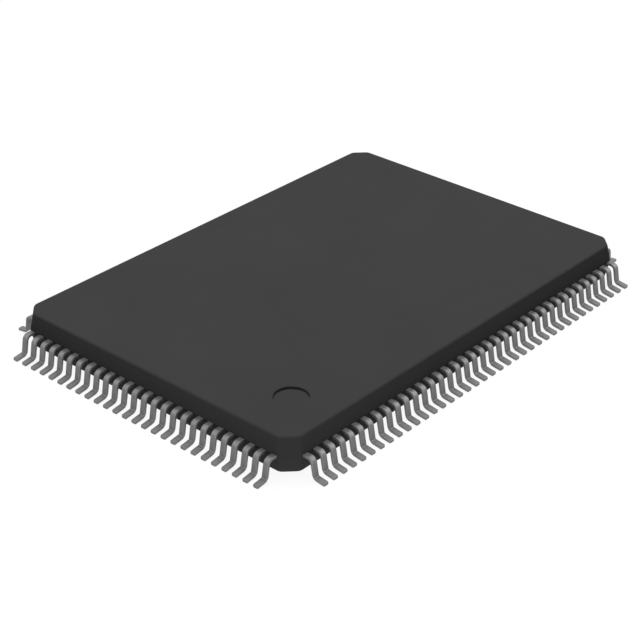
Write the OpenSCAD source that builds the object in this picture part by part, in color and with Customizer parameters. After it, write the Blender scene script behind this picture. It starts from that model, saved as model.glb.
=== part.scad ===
// Memory chip in a low-profile quad flat package with gull-wing leads on all four sides.
// X runs along the long sides, Y along the short sides, and Z = 0 is the board under the solder feet.
// The corner of pin 1, marked by the dimple, is at -X, -Y.

/* [Moulded body] */
// Length of the body along X at its parting line
body_length = 20; // [18:0.5:24]
// Width of the body along Y at its parting line
body_width = 14; // [12:0.5:20]
// Thickness of the body
body_thickness = 1.48; // [1.2:0.01:2]
// Gap between the board and the underside of the body
stand_off = 0.1; // [0.05:0.01:0.3]
// Draft of the moulded sides, from upright
draft_angle = 12; // [5:0.5:15]
// Leg of the cut across each corner
corner_cut = 0.6; // [0.4:0.05:0.7]
// Radius of the edges round the top and bottom faces
edge_radius = 0.1; // [0.05:0.01:0.2]

/* [Pin 1 dimple] */
// Diameter of the dimple at its rim
dimple_diameter = 1.32; // [0.8:0.01:1.8]
// Depth of the dimple
dimple_depth = 0.1; // [0.05:0.01:0.15]
// Draft of the dimple's wall, from upright
dimple_draft = 15; // [0:1:45]
// Distance of its centre from the left side of the body
dimple_from_left = 2.3; // [1.5:0.01:4]
// Distance of its centre from the front side of the body
dimple_from_front = 2.05; // [1.5:0.01:4]

/* [Ejector pin marks] */
// Diameter of the round marks that the pins of the mould leave on the underside
mark_diameter = 1.5; // [0.8:0.05:2]
// Depth of a mark
mark_depth = 0.03; // [0.02:0.01:0.06]
// Distance of a mark's centre from the two sides of the body beside it
mark_inset = 2.3; // [1.6:0.05:4]

/* [Outer leads] */
// Spacing of the leads
lead_pitch = 0.5; // [0.4:0.05:0.8]
// Width of a lead
lead_width = 0.25; // [0.17:0.01:0.27]
// Thickness of the lead frame sheet
frame_thickness = 0.11; // [0.09:0.01:0.2]
// Distance from the corner cut to the centre line of the first lead, at least
row_clearance = 0.15; // [0.14:0.01:0.5]
// Reach of a lead from the side of the body to its tip
lead_reach = 0.95; // [0.9:0.05:1.2]
// Level run of a lead before it bends down
shoulder_length = 0.18; // [0.1:0.01:0.25]
// Inner radius of the upper bend
upper_bend_radius = 0.15; // [0.08:0.01:0.2]
// Inner radius of the lower bend
lower_bend_radius = 0.14; // [0.08:0.01:0.2]
// Lean of the leg, from upright
leg_lean = 10; // [0:1:15]
// Slope of the foot down to its tip
foot_slope = 8; // [0:1:8]

/* [Lead frame inside] */
// Depth at which a lead turns in towards the die
straight_depth = 0.3; // [0.2:0.05:0.5]
// Width of a lead at its inner tip
tip_width = 0.12; // [0.08:0.01:0.14]
// Gap between the paddle and the inner tips
tip_gap = 0.4; // [0.3:0.05:0.8]
// Room beside the last inner tip for the tie bar at the corner
tip_corner_room = 0.5; // [0.4:0.05:0.8]
// Margin of the paddle round the die
paddle_margin = 0.8; // [0.3:0.05:1.2]
// Drop of the paddle below the leads
paddle_downset = 0.2; // [0.15:0.01:0.25]
// Width of a tie bar
tie_bar_width = 0.15; // [0.1:0.01:0.2]
// Moulding that covers the end of a tie bar at the corner
tie_bar_cover = 0.15; // [0.1:0.01:0.3]

/* [Die and wires] */
// Length of the die along X
die_length = 8; // [5:0.25:9]
// Width of the die along Y
die_width = 5; // [3:0.25:6]
// Thickness of the die
die_thickness = 0.28; // [0.2:0.01:0.32]
// Thickness of the adhesive under the die
attach_thickness = 0.03; // [0.02:0.005:0.05]
// Thickness of a bond wire
wire_thickness = 0.03; // [0.02:0.005:0.04]
// Height of a wire's loop above the die
loop_height = 0.15; // [0.1:0.01:0.2]
// Level run at the top of a wire's loop
loop_run = 0.12; // [0.08:0.01:0.2]
// Length of wire that lies on the lead
stitch_length = 0.1; // [0.06:0.01:0.15]
// Distance of a wire's ball from the edge of the die
pad_inset = 0.12; // [0.08:0.01:0.25]
// Distance of the wire's end from the lead's inner tip
bond_depth = 0.25; // [0.15:0.01:0.4]

/* [Hidden] */
$fn = 64;

SIDES = ["front", "right", "back", "left"];

// Margin by which a cutting shape runs past what it cuts
past = 1;
// Share of a step that counts as rounding error
rounding = 0.001;

// Heights
lead_level = stand_off + body_thickness / 2;
lead_top = lead_level + frame_thickness / 2;
lead_bottom = lead_level - frame_thickness / 2;
body_top = stand_off + body_thickness;
paddle_level = lead_level - paddle_downset;
paddle_top = paddle_level + frame_thickness / 2;
die_bottom = paddle_top + attach_thickness;
die_top = die_bottom + die_thickness;

// Gull-wing profile, in reach from the side of the body and height above the board
leg_along = [sin(leg_lean), -cos(leg_lean)];
leg_across = [cos(leg_lean), sin(leg_lean)];
foot_along = [cos(foot_slope), -sin(foot_slope)];
foot_across = [sin(foot_slope), cos(foot_slope)];
foot_tip = [lead_reach, 0];
upper_bend = [shoulder_length, lead_bottom - upper_bend_radius];
// Leg and foot together close the way from the upper bend to the end of the foot
leg_start = upper_bend + (upper_bend_radius + frame_thickness + lower_bend_radius) * leg_across;
foot_end = foot_tip + (frame_thickness + lower_bend_radius) * foot_across;
leg_length = cross(foot_end - leg_start, foot_along) / cross(leg_along, foot_along);
foot_length = cross(leg_along, foot_end - leg_start) / cross(leg_along, foot_along);
lower_bend = leg_start + leg_length * leg_along;

// Lead frame inside, half sizes from the centre of the package
paddle_half = [die_length, die_width] / 2 + [paddle_margin, paddle_margin];
tip_half = paddle_half + [tip_gap, tip_gap];

// Outside of the body, from the centre of the package
body_half = [body_length, body_width] / 2;
first_lead = corner_cut + row_clearance;
dimple_centre = [dimple_from_left, dimple_from_front] - body_half;

// Turn about Z that takes what is drawn at the front round to a side
function turn(side) = side == "front" ? 0 : side == "right" ? 90 : side == "back" ? 180 : 270;
function is_long(side) = side == "front" || side == "back";
// Half size of something measured along a side's row
function along(side, half) = is_long(side) ? half[0] : half[1];
// Half size of something measured out of a side
function outward(side, half) = is_long(side) ? half[1] : half[0];
function lead_count(side) = floor(2 * (along(side, body_half) - first_lead) / lead_pitch + rounding) + 1;
// Place of one lead in a row of given half length, counted from its middle
function in_row(side, i, half_row) = half_row * (2 * i / (lead_count(side) - 1) - 1);
function outer_row(side) = (lead_count(side) - 1) * lead_pitch / 2;
function tip_row(side) = along(side, tip_half) - tip_corner_room;
function pad_row(side) = along(side, [die_length, die_width] / 2) - 2 * pad_inset;
function knee_depth(side) = outward(side, body_half) - straight_depth;

function unit(v) = v / norm(v);
function left_of(v) = [-v[1], v[0]];
// Step from a point of a path to the edge of a strip of half width 1 on its left, mitred at a corner
function edge_step(path, i) =
    let (
        last = len(path) - 1,
        before = left_of(unit(path[max(i, 1)] - path[max(i, 1) - 1])),
        after = left_of(unit(path[min(i, last - 1) + 1] - path[min(i, last - 1)])),
        both = before + after
    )
    2 * both / (both * both);
// Outline of a strip of given width along a path
function strip(path, width) = concat(
    [for (i = [0 : len(path) - 1]) path[i] + edge_step(path, i) * width / 2],
    [for (i = [len(path) - 1 : -1 : 0]) path[i] - edge_step(path, i) * width / 2]
);

// Side view of a bend of given inner radius in the sheet, between two angles up to 120 degrees apart
module bend(inner, from, to) {
    outer = inner + frame_thickness;
    intersection() {
        difference() {
            circle(outer);
            circle(inner);
        }
        polygon([
            [0, 0],
            2 * outer * [cos(from), sin(from)],
            2 * outer * [cos(to), sin(to)]
        ]);
    }
}

// Side view of the formed sheet, whose foot runs on past the tip
module gull_wing_profile(inner_length) {
    translate([-inner_length, lead_bottom])
        square([inner_length + shoulder_length, frame_thickness]);
    translate(upper_bend)
        bend(upper_bend_radius, leg_lean, 90);
    translate(upper_bend)
        rotate(leg_lean)
            translate([upper_bend_radius, -leg_length])
                square([frame_thickness, leg_length]);
    translate(lower_bend)
        bend(lower_bend_radius, 180 + leg_lean, 270 - foot_slope);
    translate(lower_bend)
        rotate(-foot_slope)
            translate([0, -lower_bend_radius - frame_thickness])
                square([foot_length + past, frame_thickness]);
}

// Sheet bent to the gull-wing profile along the whole of a side
module formed_sheet(side) {
    translate([0, -outward(side, body_half), 0])
        rotate([90, 0, -90])
            linear_extrude(2 * along(side, body_half), center = true)
                gull_wing_profile(outward(side, body_half) - outward(side, tip_half));
}

// Plan of a side's leads before forming: straight outside the body, fanned in to the tips round the paddle
module lead_plan(side) {
    reach = outward(side, body_half) + lead_reach;
    knee = knee_depth(side);
    tip = outward(side, tip_half);
    for (i = [0 : lead_count(side) - 1]) {
        outer = in_row(side, i, outer_row(side));
        inner = in_row(side, i, tip_row(side));
        polygon([
            [outer - lead_width / 2, -reach],
            [outer + lead_width / 2, -reach],
            [outer + lead_width / 2, -knee],
            [inner + tip_width / 2, -tip],
            [inner - tip_width / 2, -tip],
            [outer - lead_width / 2, -knee]
        ]);
    }
}

// Leads of one side: the plan cut out of the formed sheet
module lead_row(side) {
    color("#9a9a98")
        rotate(turn(side))
            intersection() {
                formed_sheet(side);
                translate([0, 0, -past])
                    linear_extrude(body_top + past)
                        lead_plan(side);
            }
}

// Space that the flat part of one side's leads takes up in the moulding
module lead_pockets(side) {
    rotate(turn(side))
        translate([0, 0, lead_bottom])
            linear_extrude(frame_thickness)
                lead_plan(side);
}

// Flat bar of the lead frame between two points of its plan, with round ends
module frame_bar(from, to) {
    run = to - from;
    translate(from)
        rotate(atan2(run[1], run[0]))
            translate([0, -tie_bar_width / 2])
                square([norm(run), tie_bar_width]);
    for (end = [from, to]) {
        translate(end)
            circle(d = tie_bar_width);
    }
}

// Tie bar from a corner of the paddle to a corner of the body, bent down beside the paddle
module tie_bar() {
    corner_end = body_half - (corner_cut / 2 + (tie_bar_cover + tie_bar_width / 2) / sqrt(2)) * [1, 1];
    knee = body_half - (first_lead + straight_depth) / 2 * [1, 1];
    // The slope takes the middle half of the way from the tips to the paddle
    gap_run = tip_gap * sqrt(2);
    level_run = gap_run / 4;
    translate([0, 0, lead_bottom])
        linear_extrude(frame_thickness) {
            frame_bar(corner_end, knee);
            frame_bar(knee, tip_half);
        }
    translate([tip_half[0], tip_half[1], 0])
        rotate([90, 0, -135])
            linear_extrude(tie_bar_width, center = true)
                polygon(strip([
                    [0, lead_level],
                    [level_run, lead_level],
                    [gap_run - level_run, paddle_level],
                    [gap_run + tie_bar_width, paddle_level]
                ], frame_thickness));
}

// Paddle that carries the die, with its four tie bars
module die_paddle() {
    color("#b87f5a") {
        translate([-paddle_half[0], -paddle_half[1], paddle_level - frame_thickness / 2])
            cube([2 * paddle_half[0], 2 * paddle_half[1], frame_thickness]);
        for (x = [0, 1], y = [0, 1]) {
            mirror([x, 0, 0])
                mirror([0, y, 0])
                    tie_bar();
        }
    }
}

// Layer of silver-filled adhesive between paddle and die
module die_attach() {
    color("#c9c9c4")
        translate([-die_length / 2, -die_width / 2, paddle_top])
            cube([die_length, die_width, attach_thickness]);
}

// Memory die
module silicon_die() {
    color("#55606e")
        translate([-die_length / 2, -die_width / 2, die_bottom])
            cube([die_length, die_width, die_thickness]);
}

// Wire from a pad of the die to the lead below it, both as points in plan
module bond_wire(pad, bond) {
    run = bond - pad;
    length = norm(run);
    crown = die_top + loop_height;
    landing = lead_top + wire_thickness / 2;
    translate(pad)
        rotate([90, 0, atan2(run[1], run[0])])
            linear_extrude(wire_thickness, center = true)
                polygon(strip([
                    [0, die_top],
                    [0, crown],
                    [loop_run, crown],
                    [length - stitch_length, landing],
                    [length, landing]
                ], wire_thickness));
}

// Wires of one side, each from its pad to a point on its own lead
module bond_wires(side) {
    tip = outward(side, tip_half);
    bond_share = bond_depth / (knee_depth(side) - tip);
    pad_line = outward(side, [die_length, die_width] / 2) - pad_inset;
    color("#d9a93a")
        rotate(turn(side))
            for (i = [0 : lead_count(side) - 1]) {
                outer = in_row(side, i, outer_row(side));
                inner = in_row(side, i, tip_row(side));
                bond_wire(
                    [in_row(side, i, pad_row(side)), -pad_line],
                    [inner + (outer - inner) * bond_share, -(tip + bond_depth)]
                );
            }
}

// Side view of the body across a given half width: an upright band as thick as the leads,
// with drafted sides and rounded edges above and below it
module body_profile(half_width) {
    rise = (body_thickness - frame_thickness) / 2;
    edge_x = half_width - (rise - edge_radius) * tan(draft_angle) - edge_radius / cos(draft_angle);
    edge_y = body_thickness / 2 - edge_radius;
    wall_x = edge_x + edge_radius * cos(draft_angle);
    wall_y = edge_y + edge_radius * sin(draft_angle);
    quarter = [
        [half_width, frame_thickness / 2],
        [wall_x, wall_y],
        [edge_x, body_thickness / 2]
    ];
    outline = concat(
        quarter,
        [for (i = [2 : -1 : 0]) [-quarter[i][0], quarter[i][1]]],
        [for (i = [0 : 2]) -quarter[i]],
        [for (i = [2 : -1 : 0]) [quarter[i][0], -quarter[i][1]]]
    );
    polygon(outline);
    for (x = [-edge_x, edge_x], y = [-edge_y, edge_y]) {
        translate([x, y])
            circle(edge_radius);
    }
}

// The body's profile carried across the whole package, facing the given angle
module body_slab(half_width, angle) {
    translate([0, 0, lead_level])
        rotate([90, 0, angle])
            linear_extrude(2 * (body_length + body_width), center = true)
                body_profile(half_width);
}

// Outside of the moulding, drafted on its four sides and its four cut corners
module moulding() {
    corner_half = (body_half[0] + body_half[1] - corner_cut) / sqrt(2);
    intersection() {
        body_slab(body_half[0], 0);
        body_slab(body_half[1], 90);
        body_slab(corner_half, 45);
        body_slab(corner_half, -45);
    }
}

// Dimple in the top face beside pin 1, wider towards its rim
module dimple() {
    translate([dimple_centre[0], dimple_centre[1], body_top - dimple_depth])
        cylinder(
            h = dimple_depth + past,
            d1 = dimple_diameter - 2 * dimple_depth * tan(dimple_draft),
            d2 = dimple_diameter + 2 * past * tan(dimple_draft)
        );
}

// Shallow marks of the ejector pins in the underside, one near each corner
module ejector_marks() {
    mark_place = body_half - [mark_inset, mark_inset];
    for (x = [-1, 1], y = [-1, 1]) {
        translate([x * mark_place[0], y * mark_place[1], stand_off - past])
            cylinder(d = mark_diameter, h = past + mark_depth);
    }
}

// Epoxy body, moulded round everything that it holds
module package_body() {
    color("#3b3b3b")
        difference() {
            moulding();
            dimple();
            ejector_marks();
            for (side = SIDES) {
                lead_pockets(side);
                bond_wires(side);
            }
            die_paddle();
            die_attach();
            silicon_die();
        }
}

package_body();
lead_row("front");  // leads_front
lead_row("right");  // leads_right
lead_row("back");  // leads_back
lead_row("left");  // leads_left
die_paddle();
die_attach();
silicon_die();
bond_wires("front");  // bond_wires_front
bond_wires("right");  // bond_wires_right
bond_wires("back");  // bond_wires_back
bond_wires("left");  // bond_wires_left
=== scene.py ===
"""Looks of a memory chip in a quad flat package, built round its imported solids."""
import math

import bmesh
import bpy
from mathutils import Matrix, Vector


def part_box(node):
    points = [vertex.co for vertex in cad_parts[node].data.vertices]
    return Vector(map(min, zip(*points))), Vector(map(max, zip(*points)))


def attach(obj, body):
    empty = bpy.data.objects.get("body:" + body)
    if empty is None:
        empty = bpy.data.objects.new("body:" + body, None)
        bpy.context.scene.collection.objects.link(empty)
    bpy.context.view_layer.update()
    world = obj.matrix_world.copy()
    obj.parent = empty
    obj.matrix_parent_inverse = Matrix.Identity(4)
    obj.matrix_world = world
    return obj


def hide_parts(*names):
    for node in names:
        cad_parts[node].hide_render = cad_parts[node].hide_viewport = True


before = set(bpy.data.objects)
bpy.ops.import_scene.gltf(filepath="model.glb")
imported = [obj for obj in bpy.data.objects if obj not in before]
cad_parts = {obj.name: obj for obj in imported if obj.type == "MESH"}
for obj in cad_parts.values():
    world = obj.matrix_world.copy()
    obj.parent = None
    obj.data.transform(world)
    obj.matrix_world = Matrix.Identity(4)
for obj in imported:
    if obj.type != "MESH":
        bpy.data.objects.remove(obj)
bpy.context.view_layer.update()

MM = 0.001

# Sides of the package, each a quarter turn on from the one before it
SIDES = ("front", "right", "back", "left")
QUARTER_TURN = math.tau / 4

# Moulded body
DRAFT = math.radians(12)
CORNER_CUT = 0.6 * MM
FACE_EDGE_RADIUS = 0.1 * MM
CORNER_EDGE_RADIUS = 0.3 * MM
EDGE_STEPS = 8
CORNER_STEPS = 8
# Width of the flat border beside an edge, which keeps the large faces evenly shaded
FLAT_BORDER = 0.05 * MM
# Weight by which a large face keeps its own shading beside a small one
LARGE_FACE_WEIGHT = 100

# Dimple of the first pin, with its place measured from the left and front sides of the body
DIMPLE_RADIUS = 0.66 * MM
DIMPLE_DEPTH = 0.1 * MM
DIMPLE_DRAFT = math.radians(15)
DIMPLE_FROM_LEFT = 2.3 * MM
DIMPLE_FROM_FRONT = 2.05 * MM

# Marks of the ejector pins on the underside, with their place measured from the nearest sides
MARK_RADIUS = 0.75 * MM
MARK_DEPTH = 0.03 * MM
MARK_INSET = 2.3 * MM

# Edges of the dimple and the marks
RECESS_RIM_RADIUS = 0.01 * MM
RECESS_FLOOR_RADIUS = 0.015 * MM
RECESS_SEGMENTS = 96
RECESS_EDGE_STEPS = 4

# Leads
LEAD_PITCH = 0.5 * MM
LEAD_WIDTH = 0.25 * MM
SHOULDER_LENGTH = 0.18 * MM
UPPER_BEND_RADIUS = 0.15 * MM
LOWER_BEND_RADIUS = 0.14 * MM
# Radius of the hollow side of the lower bend, where the sheet is pressed in sharper than outside
HOLLOW_RADIUS = 0.03 * MM
LEG_LEAN = math.radians(10)
FOOT_SLOPE = math.radians(8)
STRAIGHT_DEPTH = 0.3 * MM
INNER_TIP_WIDTH = 0.12 * MM
TIP_CORNER_ROOM = 0.5 * MM
LEAD_EDGE_RADIUS = 0.03 * MM
LEAD_EDGE_STEPS = 4
TIP_CHAMFER = 0.02 * MM
BEND_STEPS = 12

# Camera, as the photograph was taken
CAMERA_AZIMUTH = math.radians(-48.494)
CAMERA_ELEVATION = math.radians(29.907)
CAMERA_DISTANCE = 69.853 * MM
CAMERA_AIM = Vector((-0.451, 0.123, -0.392)) * MM
CAMERA_LENS_MM = 98.456
CAMERA_SENSOR_MM = 36
CAMERA_CLIP_START = 1 * MM
CAMERA_CLIP_END = 1000 * MM

# Range that plain noise mostly keeps to
NOISE_LOW = 0.3
NOISE_HIGH = 0.7

# Studio
FLOOR_HALF = 400 * MM
FLOOR_DROP = 0.001 * MM
FLOOR_COLOR = (0.85, 0.85, 0.85, 1)
WHITE = (1, 1, 1, 1)
# Share of the floor's look that is plain white, which leaves a faint shadow
FLOOR_WHITE_SHARE = 0.92
# Light that comes evenly up from the floor, and from all round
FLOOR_STRENGTH = 0.7
AMBIENT_STRENGTH = 0.03
# Large lamp above and a little behind, which lights matte surfaces
KEY_PLACE = Vector((39, 50, 327)) * MM
KEY_SIZE = 300 * MM
KEY_WATTS = 1.5
# Low strip lamp before the corner of the first pin
FRONT_PLACE = Vector((-25, -20.5, 1.3)) * MM
FRONT_WIDTH = 10 * MM
FRONT_HEIGHT = 2.2 * MM
FRONT_WATTS = 0.00135
# Lamps that show in the gloss of the metal
GLINT_SIZE = 100 * MM
RIGHT_PLACE = Vector((71, -46, 68)) * MM
RIGHT_WATTS = 0.0465
LEFT_PLACE = Vector((-55, 63, 71)) * MM
LEFT_WATTS = 0.0245

body_low, body_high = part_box("package_body")
BODY_MIDDLE = (body_low.z + body_high.z) / 2
BODY_HALF_HEIGHT = (body_high.z - body_low.z) / 2
FRAME_THICKNESS = 2 * (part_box("leads_front")[1].z - BODY_MIDDLE)


def new_piece(name, mesh_maker, material, node):
    """Piece with a smooth mesh of its own, in place of a solid of the frame."""
    mesh = bpy.data.meshes.new(name)
    maker = bmesh.new()
    mesh_maker(maker)
    bmesh.ops.recalc_face_normals(maker, faces=maker.faces)
    maker.to_mesh(mesh)
    maker.free()
    mesh.materials.append(material)
    piece = bpy.data.objects.new(name, mesh)
    bpy.context.scene.collection.objects.link(piece)
    normals = piece.modifiers.new("even_normals", "WEIGHTED_NORMAL")
    normals.weight = LARGE_FACE_WEIGHT
    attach(piece, "root")
    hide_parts(node)
    return piece


def add_ring(maker, points):
    """Vertices at the given points, in their order."""
    return [maker.verts.new(point) for point in points]


def bridge(maker, ring, next_ring):
    """Smooth faces between two rings of equally many vertices."""
    count = len(ring)
    for i in range(count):
        after = (i + 1) % count
        face = maker.faces.new((ring[i], ring[after], next_ring[after], next_ring[i]))
        face.smooth = True


def bridge_all(maker, rings):
    """Smooth faces from each ring to the next one."""
    for ring, next_ring in zip(rings, rings[1:]):
        bridge(maker, ring, next_ring)


def ring_edges(maker, ring):
    """Edges round a ring of vertices."""
    return [maker.edges.get((ring[i - 1], ring[i])) for i in range(len(ring))]


# Moulded body

def body_outline(inset):
    """Plan of the body at an inset from its parting line: eight sides with rounded corners."""
    half_x = body_high.x
    half_y = body_high.y
    corner_half = (half_x + half_y - CORNER_CUT) / math.sqrt(2)
    distances = (half_x, corner_half, half_y, corner_half) * 2
    turn = math.tau / len(distances)
    points = []
    for side, distance in enumerate(distances):
        after = distances[(side + 1) % len(distances)]
        start = side * turn
        end = start + turn
        first = distance - inset - CORNER_EDGE_RADIUS
        second = after - inset - CORNER_EDGE_RADIUS
        centre_x = (first * math.sin(end) - second * math.sin(start)) / math.sin(turn)
        centre_y = (second * math.cos(start) - first * math.cos(end)) / math.sin(turn)
        for step in range(CORNER_STEPS + 1):
            angle = start + turn * step / CORNER_STEPS
            points.append((
                centre_x + CORNER_EDGE_RADIUS * math.cos(angle),
                centre_y + CORNER_EDGE_RADIUS * math.sin(angle)))
    return points


def upper_body_profile():
    """Inset and height over the parting plane, from the upright band up to the top face's border."""
    band = FRAME_THICKNESS / 2
    centre_height = BODY_HALF_HEIGHT - FACE_EDGE_RADIUS
    centre_inset = (centre_height - band) * math.tan(DRAFT) + FACE_EDGE_RADIUS / math.cos(DRAFT)
    profile = [(0, band)]
    for step in range(EDGE_STEPS + 1):
        angle = DRAFT + (QUARTER_TURN - DRAFT) * step / EDGE_STEPS
        profile.append((
            centre_inset - FACE_EDGE_RADIUS * math.cos(angle),
            centre_height + FACE_EDGE_RADIUS * math.sin(angle)))
    profile.append((centre_inset + FLAT_BORDER, BODY_HALF_HEIGHT))
    return profile


def recess_profile(radius, depth, draft):
    """Radius and depth of a round recess, from the flat border round its rim down to its floor."""
    floor_radius = radius - depth * math.tan(draft)
    round_share = math.tan((QUARTER_TURN - draft) / 2)
    rim_centre = radius + RECESS_RIM_RADIUS * round_share
    floor_centre = floor_radius - RECESS_FLOOR_RADIUS * round_share
    angles = [
        draft + (QUARTER_TURN - draft) * step / RECESS_EDGE_STEPS
        for step in range(RECESS_EDGE_STEPS + 1)]
    profile = [(rim_centre + FLAT_BORDER, 0)]
    for angle in reversed(angles):
        profile.append((
            rim_centre - RECESS_RIM_RADIUS * math.cos(angle),
            RECESS_RIM_RADIUS * (1 - math.sin(angle))))
    for angle in angles:
        profile.append((
            floor_centre + RECESS_FLOOR_RADIUS * math.cos(angle),
            depth - RECESS_FLOOR_RADIUS * (1 - math.sin(angle))))
    profile.append((floor_centre - FLAT_BORDER, depth))
    return profile


def add_recess(maker, centre, profile, downwards):
    """Round recess cut downwards or upwards into a level face. Gives the ring round its rim."""
    way = -1 if downwards else 1
    rings = []
    for radius, depth in profile:
        points = []
        for i in range(RECESS_SEGMENTS):
            angle = math.tau * i / RECESS_SEGMENTS
            step = Vector((radius * math.cos(angle), radius * math.sin(angle), way * depth))
            points.append(centre + step)
        rings.append(add_ring(maker, points))
    bridge_all(maker, rings)
    maker.faces.new(rings[-1])
    return rings[0]


def fill_face(maker, rings):
    """Level face between its outer ring and the rims of its recesses."""
    edges = [edge for ring in rings for edge in ring_edges(maker, ring)]
    bmesh.ops.triangle_fill(maker, use_beauty=True, edges=edges)


def make_body(maker):
    """Both drafted halves of the body, with the dimple above and the ejector marks below."""
    upper = upper_body_profile()
    lower = [(inset, -height) for inset, height in reversed(upper)]
    rings = []
    for inset, height in lower + upper:
        points = [(x, y, BODY_MIDDLE + height) for x, y in body_outline(inset)]
        rings.append(add_ring(maker, points))
    bridge_all(maker, rings)
    dimple_centre = Vector((body_low.x + DIMPLE_FROM_LEFT, body_low.y + DIMPLE_FROM_FRONT, body_high.z))
    dimple_profile = recess_profile(DIMPLE_RADIUS, DIMPLE_DEPTH, DIMPLE_DRAFT)
    dimple = add_recess(maker, dimple_centre, dimple_profile, downwards=True)
    fill_face(maker, [rings[-1], dimple])
    mark_profile = recess_profile(MARK_RADIUS, MARK_DEPTH, draft=0)
    marks = []
    for x in (body_low.x + MARK_INSET, body_high.x - MARK_INSET):
        for y in (body_low.y + MARK_INSET, body_high.y - MARK_INSET):
            marks.append(add_recess(maker, Vector((x, y, body_low.z)), mark_profile, downwards=False))
    fill_face(maker, [rings[0]] + marks)


# Leads

def side_box(side):
    """Box of a side's leads, turned so that the side faces the front."""
    turn_back = Matrix.Rotation(-QUARTER_TURN * side, 4, "Z")
    corners = [turn_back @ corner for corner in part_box("leads_" + SIDES[side])]
    low = Vector(map(min, *corners))
    high = Vector(map(max, *corners))
    return low, high


def gull_wing_sections(side):
    """Sections of a lead from its inner tip to its foot. Each has its place, as distance from the middle
    of the package and height, the way across its thickness, its half width, and its share of the fan."""
    low, high = side_box(side)
    out = body_high.y if side % 2 == 0 else body_high.x
    reach = -low.y
    half_width = LEAD_WIDTH / 2
    half_thickness = FRAME_THICKNESS / 2
    up = Vector((0, 1))
    leg_along = Vector((math.sin(LEG_LEAN), -math.cos(LEG_LEAN)))
    leg_across = Vector((math.cos(LEG_LEAN), math.sin(LEG_LEAN)))
    foot_along = Vector((math.cos(FOOT_SLOPE), -math.sin(FOOT_SLOPE)))
    foot_across = Vector((math.sin(FOOT_SLOPE), math.cos(FOOT_SLOPE)))
    upper_bend = Vector((out + SHOULDER_LENGTH, BODY_MIDDLE - half_thickness - UPPER_BEND_RADIUS))
    leg_start = upper_bend + (UPPER_BEND_RADIUS + FRAME_THICKNESS + LOWER_BEND_RADIUS) * leg_across
    foot_end = Vector((reach, 0)) + (FRAME_THICKNESS + LOWER_BEND_RADIUS) * foot_across
    leg_length = (foot_end - leg_start).cross(foot_along) / leg_along.cross(foot_along)
    lower_bend = leg_start + leg_length * leg_along
    sections = [
        (Vector((-high.y, BODY_MIDDLE)), up, INNER_TIP_WIDTH / 2, 1),
        (Vector((out - STRAIGHT_DEPTH, BODY_MIDDLE)), up, half_width, 0)]
    upper_turn = QUARTER_TURN - LEG_LEAN
    for step in range(BEND_STEPS + 1):
        angle = QUARTER_TURN - upper_turn * step / BEND_STEPS
        across = Vector((math.cos(angle), math.sin(angle)))
        place = upper_bend + (UPPER_BEND_RADIUS + half_thickness) * across
        sections.append((place, across, half_width, 0))
    lower_turn = QUARTER_TURN - LEG_LEAN - FOOT_SLOPE
    middle_angle = LEG_LEAN + lower_turn / 2
    hollow_shift = (LOWER_BEND_RADIUS - HOLLOW_RADIUS) / math.cos(lower_turn / 2)
    hollow = lower_bend - hollow_shift * Vector((math.cos(middle_angle), math.sin(middle_angle)))
    for step in range(BEND_STEPS + 1):
        angle = LEG_LEAN + lower_turn * step / BEND_STEPS
        across = Vector((math.cos(angle), math.sin(angle)))
        inside = hollow - HOLLOW_RADIUS * across
        outside = lower_bend - (LOWER_BEND_RADIUS + FRAME_THICKNESS) * across
        sections.append(((inside + outside) / 2, (inside - outside) / FRAME_THICKNESS, half_width, 0))
    upright = up / math.cos(FOOT_SLOPE)
    tip = Vector((reach, 0)) + half_thickness * upright
    sections.append((tip - TIP_CHAMFER * foot_along, upright, half_width, 0))
    sections.append((tip, upright, half_width - TIP_CHAMFER, 0))
    return sections


def lead_section(half_width, half_thickness):
    """Points round a lead's section, across its width and through its thickness."""
    points = []
    for corner, (across, through) in enumerate(((1, 1), (-1, 1), (-1, -1), (1, -1))):
        for step in range(LEAD_EDGE_STEPS + 1):
            angle = QUARTER_TURN * (corner + step / LEAD_EDGE_STEPS)
            points.append((
                across * (half_width - LEAD_EDGE_RADIUS) + LEAD_EDGE_RADIUS * math.cos(angle),
                through * (half_thickness - LEAD_EDGE_RADIUS) + LEAD_EDGE_RADIUS * math.sin(angle)))
    return points


def make_leads(side):
    """Maker of a whole row of leads."""
    row_end = side_box(side)[1]
    half_row = row_end.x - LEAD_WIDTH / 2
    count = round(2 * half_row / LEAD_PITCH) + 1
    next_tips = side_box((side + 1) % len(SIDES))[1]
    half_tip_row = -next_tips.y - TIP_CORNER_ROOM
    sections = gull_wing_sections(side)
    to_side = Matrix.Rotation(QUARTER_TURN * side, 4, "Z")

    def maker_of_row(maker):
        for i in range(count):
            share = 2 * i / (count - 1) - 1
            rings = []
            for place, across, half_width, fan in sections:
                middle = share * (half_row + (half_tip_row - half_row) * fan)
                points = []
                for sideways, through in lead_section(half_width, FRAME_THICKNESS / 2):
                    at = place + through * across
                    points.append(to_side @ Vector((middle + sideways, -at.x, at.y)))
                rings.append(add_ring(maker, points))
            bridge_all(maker, rings)
            maker.faces.new(rings[0])
            maker.faces.new(rings[-1])

    return maker_of_row


# Materials

def new_material(name):
    """Material, with its node tree and its shader."""
    material = bpy.data.materials.new(name)
    material.use_nodes = True
    tree = material.node_tree
    return material, tree, tree.nodes["Principled BSDF"]


def add_noise(tree, feature_size, detail=3):
    """Noise over the object's own coordinates, with features of a given size in metres."""
    place = tree.nodes.new("ShaderNodeTexCoord")
    noise = tree.nodes.new("ShaderNodeTexNoise")
    noise.inputs["Scale"].default_value = 1 / feature_size
    noise.inputs["Detail"].default_value = detail
    tree.links.new(place.outputs["Object"], noise.inputs["Vector"])
    return noise.outputs["Fac"]


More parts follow.
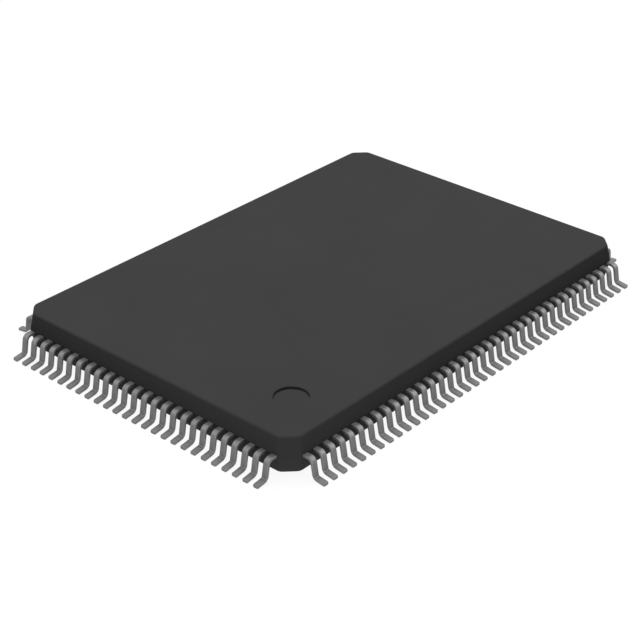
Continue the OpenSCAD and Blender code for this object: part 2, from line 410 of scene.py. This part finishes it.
def color_between(tree, share, low, high):
    """Colour that goes from one to another over the range of plain noise."""
    ramp = tree.nodes.new("ShaderNodeValToRGB")
    ramp.color_ramp.elements[0].position = NOISE_LOW
    ramp.color_ramp.elements[0].color = low
    ramp.color_ramp.elements[1].position = NOISE_HIGH
    ramp.color_ramp.elements[1].color = high
    tree.links.new(share, ramp.inputs["Fac"])
    return ramp.outputs["Color"]


def number_between(tree, share, low, high):
    """Number that goes from one to another over the range of plain noise."""
    scale = tree.nodes.new("ShaderNodeMapRange")
    scale.inputs["From Min"].default_value = NOISE_LOW
    scale.inputs["From Max"].default_value = NOISE_HIGH
    scale.inputs["To Min"].default_value = low
    scale.inputs["To Max"].default_value = high
    tree.links.new(share, scale.inputs["Value"])
    return scale.outputs["Result"]


def add_bump(tree, shader, height, depth):
    """Fine relief of a given depth in metres."""
    bump = tree.nodes.new("ShaderNodeBump")
    bump.inputs["Distance"].default_value = depth
    tree.links.new(height, bump.inputs["Height"])
    tree.links.new(bump.outputs["Normal"], shader.inputs["Normal"])


def grey(value):
    """Neutral colour of one value."""
    return (value, value, value, 1)


def moulded_epoxy():
    """Black filled epoxy with the fine eroded grain of its mould."""
    material, tree, shader = new_material("moulded_epoxy")
    grain = add_noise(tree, feature_size=0.045 * MM)
    cloud = add_noise(tree, feature_size=3 * MM)
    color = color_between(tree, cloud, low=grey(0.044), high=grey(0.047))
    roughness = number_between(tree, grain, low=0.6, high=0.75)
    tree.links.new(color, shader.inputs["Base Color"])
    tree.links.new(roughness, shader.inputs["Roughness"])
    shader.inputs["Specular IOR Level"].default_value = 0.01
    add_bump(tree, shader, grain, depth=0.0012 * MM)
    return material


def tin_plating():
    """Matte tin, plated over the stamped leads."""
    material, tree, shader = new_material("tin_plating")
    grain = add_noise(tree, feature_size=0.02 * MM)
    cloud = add_noise(tree, feature_size=0.25 * MM)
    color = color_between(tree, cloud, low=grey(0.18), high=grey(0.2))
    roughness = number_between(tree, grain, low=0.41, high=0.49)
    tree.links.new(color, shader.inputs["Base Color"])
    tree.links.new(roughness, shader.inputs["Roughness"])
    shader.inputs["Metallic"].default_value = 0.7
    shader.inputs["Specular IOR Level"].default_value = 0.2
    add_bump(tree, shader, grain, depth=0.001 * MM)
    return material


def frame_copper():
    """Stamped copper alloy sheet of the lead frame, with a faint mark of rolling."""
    material, tree, shader = new_material("frame_copper")
    rolling = add_noise(tree, feature_size=0.08 * MM, detail=6)
    color = color_between(tree, rolling, low=(0.62, 0.34, 0.21, 1), high=(0.74, 0.44, 0.29, 1))
    roughness = number_between(tree, rolling, low=0.25, high=0.4)
    tree.links.new(color, shader.inputs["Base Color"])
    tree.links.new(roughness, shader.inputs["Roughness"])
    shader.inputs["Metallic"].default_value = 1
    add_bump(tree, shader, rolling, depth=0.001 * MM)
    return material


def die_adhesive():
    """Adhesive filled with silver flakes."""
    material, tree, shader = new_material("die_adhesive")
    flakes = add_noise(tree, feature_size=0.01 * MM)
    color = color_between(tree, flakes, low=(0.45, 0.45, 0.43, 1), high=(0.66, 0.66, 0.64, 1))
    roughness = number_between(tree, flakes, low=0.4, high=0.6)
    tree.links.new(color, shader.inputs["Base Color"])
    tree.links.new(roughness, shader.inputs["Roughness"])
    shader.inputs["Metallic"].default_value = 0.4
    return material


def silicon():
    """Polished silicon with the blocks of its memory array."""
    material, tree, shader = new_material("silicon")
    place = tree.nodes.new("ShaderNodeTexCoord")
    blocks = tree.nodes.new("ShaderNodeTexBrick")
    blocks.offset = 0
    blocks.inputs["Scale"].default_value = 1 / MM
    blocks.inputs["Brick Width"].default_value = 0.9
    blocks.inputs["Row Height"].default_value = 0.55
    blocks.inputs["Mortar Size"].default_value = 0.03
    blocks.inputs["Color1"].default_value = (0.1, 0.12, 0.17, 1)
    blocks.inputs["Color2"].default_value = (0.12, 0.13, 0.16, 1)
    blocks.inputs["Mortar"].default_value = (0.2, 0.19, 0.18, 1)
    tree.links.new(place.outputs["Object"], blocks.inputs["Vector"])
    tree.links.new(blocks.outputs["Color"], shader.inputs["Base Color"])
    shader.inputs["Roughness"].default_value = 0.15
    return material


def gold_wire():
    """Drawn gold wire."""
    material, tree, shader = new_material("gold_wire")
    drawing = add_noise(tree, feature_size=0.015 * MM)
    color = color_between(tree, drawing, low=(0.78, 0.52, 0.17, 1), high=(0.88, 0.64, 0.26, 1))
    tree.links.new(color, shader.inputs["Base Color"])
    shader.inputs["Roughness"].default_value = 0.25
    shader.inputs["Metallic"].default_value = 1
    return material


def dress_node(node, material):
    """Puts a finish on a solid that is kept as the frame has it."""
    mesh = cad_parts[node].data
    mesh.materials.clear()
    mesh.materials.append(material)


# Studio

def seen_or_not(tree, seen, unseen):
    """One number for rays that show the background, from the camera, off gloss or through glass, and
    another for the light that falls on the object."""
    path = tree.nodes.new("ShaderNodeLightPath")
    share = path.outputs["Is Camera Ray"]
    for ray in ("Is Glossy Ray", "Is Transmission Ray"):
        larger = tree.nodes.new("ShaderNodeMath")
        larger.operation = "MAXIMUM"
        tree.links.new(share, larger.inputs[0])
        tree.links.new(path.outputs[ray], larger.inputs[1])
        share = larger.outputs["Value"]
    number = tree.nodes.new("ShaderNodeMapRange")
    number.inputs["To Min"].default_value = unseen
    number.inputs["To Max"].default_value = seen
    tree.links.new(share, number.inputs["Value"])
    return number.outputs["Result"]


def floor_material():
    """White floor that shows a faint shadow and throws an even light up at the object."""
    material = bpy.data.materials.new("studio_floor")
    material.use_nodes = True
    tree = material.node_tree
    tree.nodes.clear()
    diffuse = tree.nodes.new("ShaderNodeBsdfDiffuse")
    diffuse.inputs["Color"].default_value = FLOOR_COLOR
    white = tree.nodes.new("ShaderNodeEmission")
    white.inputs["Color"].default_value = WHITE
    strength = seen_or_not(tree, seen=1, unseen=FLOOR_STRENGTH)
    tree.links.new(strength, white.inputs["Strength"])
    mix = tree.nodes.new("ShaderNodeMixShader")
    white_share = seen_or_not(tree, seen=FLOOR_WHITE_SHARE, unseen=1)
    tree.links.new(white_share, mix.inputs["Fac"])
    tree.links.new(diffuse.outputs["BSDF"], mix.inputs[1])
    tree.links.new(white.outputs["Emission"], mix.inputs[2])
    output = tree.nodes.new("ShaderNodeOutputMaterial")
    tree.links.new(mix.outputs["Shader"], output.inputs["Surface"])
    return material


def add_floor():
    """Large level floor just under the feet."""
    mesh = bpy.data.meshes.new("studio_floor")
    corners = [(-1, -1), (1, -1), (1, 1), (-1, 1)]
    points = [(x * FLOOR_HALF, y * FLOOR_HALF, -FLOOR_DROP) for x, y in corners]
    mesh.from_pydata(points, [], [(0, 1, 2, 3)])
    mesh.materials.append(floor_material())
    floor = bpy.data.objects.new("studio_floor", mesh)
    bpy.context.scene.collection.objects.link(floor)


def set_world():
    """Plain white surroundings, which give the object only a weak light of their own."""
    world = bpy.data.worlds.new("studio")
    world.use_nodes = True
    tree = world.node_tree
    background = tree.nodes["Background"]
    background.inputs["Color"].default_value = WHITE
    strength = seen_or_not(tree, seen=1, unseen=AMBIENT_STRENGTH)
    tree.links.new(strength, background.inputs["Strength"])
    bpy.context.scene.world = world


def add_lamp(name, place, width, height, watts):
    """Soft oval lamp that shines on the package from a given place."""
    light = bpy.data.lights.new(name, "AREA")
    light.shape = "ELLIPSE"
    light.size = width
    light.size_y = height
    light.energy = watts
    lamp = bpy.data.objects.new(name, light)
    lamp.location = place
    lamp.rotation_euler = (-place).to_track_quat("-Z", "Y").to_euler()
    lamp.visible_camera = False
    bpy.context.scene.collection.objects.link(lamp)
    return lamp


def add_glint(name, place, watts):
    """Lamp that shows in the gloss of the metal alone."""
    lamp = add_lamp(name, place, GLINT_SIZE, GLINT_SIZE, watts)
    lamp.visible_diffuse = False


def add_camera():
    """Camera at the photograph's place, aimed close to the middle of the package."""
    flat = math.cos(CAMERA_ELEVATION)
    back = Vector((
        math.sin(CAMERA_AZIMUTH) * flat, -math.cos(CAMERA_AZIMUTH) * flat, math.sin(CAMERA_ELEVATION)))
    right = Vector((math.cos(CAMERA_AZIMUTH), math.sin(CAMERA_AZIMUTH), 0))
    up = back.cross(right)
    lens = bpy.data.cameras.new("camera")
    lens.sensor_width = CAMERA_SENSOR_MM
    lens.lens = CAMERA_LENS_MM
    lens.clip_start = CAMERA_CLIP_START
    lens.clip_end = CAMERA_CLIP_END
    camera = bpy.data.objects.new("camera", lens)
    turn = Matrix((right, up, back)).transposed().to_4x4()
    camera.matrix_world = Matrix.Translation(CAMERA_AIM + CAMERA_DISTANCE * back) @ turn
    bpy.context.scene.collection.objects.link(camera)
    bpy.context.scene.camera = camera


add_camera()

new_piece("moulded_body", make_body, moulded_epoxy(), "package_body")

tin = tin_plating()
for side, side_name in enumerate(SIDES):
    new_piece("gull_wing_leads_" + side_name, make_leads(side), tin, "leads_" + side_name)

dress_node("die_paddle", frame_copper())
dress_node("die_attach", die_adhesive())
dress_node("silicon_die", silicon())
gold = gold_wire()
for side_name in SIDES:
    dress_node("bond_wires_" + side_name, gold)

add_floor()
set_world()
key = add_lamp("key_lamp", KEY_PLACE, KEY_SIZE, KEY_SIZE, KEY_WATTS)
key.visible_glossy = False
add_lamp("front_lamp", FRONT_PLACE, FRONT_WIDTH, FRONT_HEIGHT, FRONT_WATTS)
add_glint("right_glint", RIGHT_PLACE, RIGHT_WATTS)
add_glint("left_glint", LEFT_PLACE, LEFT_WATTS)
bpy.context.scene.view_settings.view_transform = "Standard"
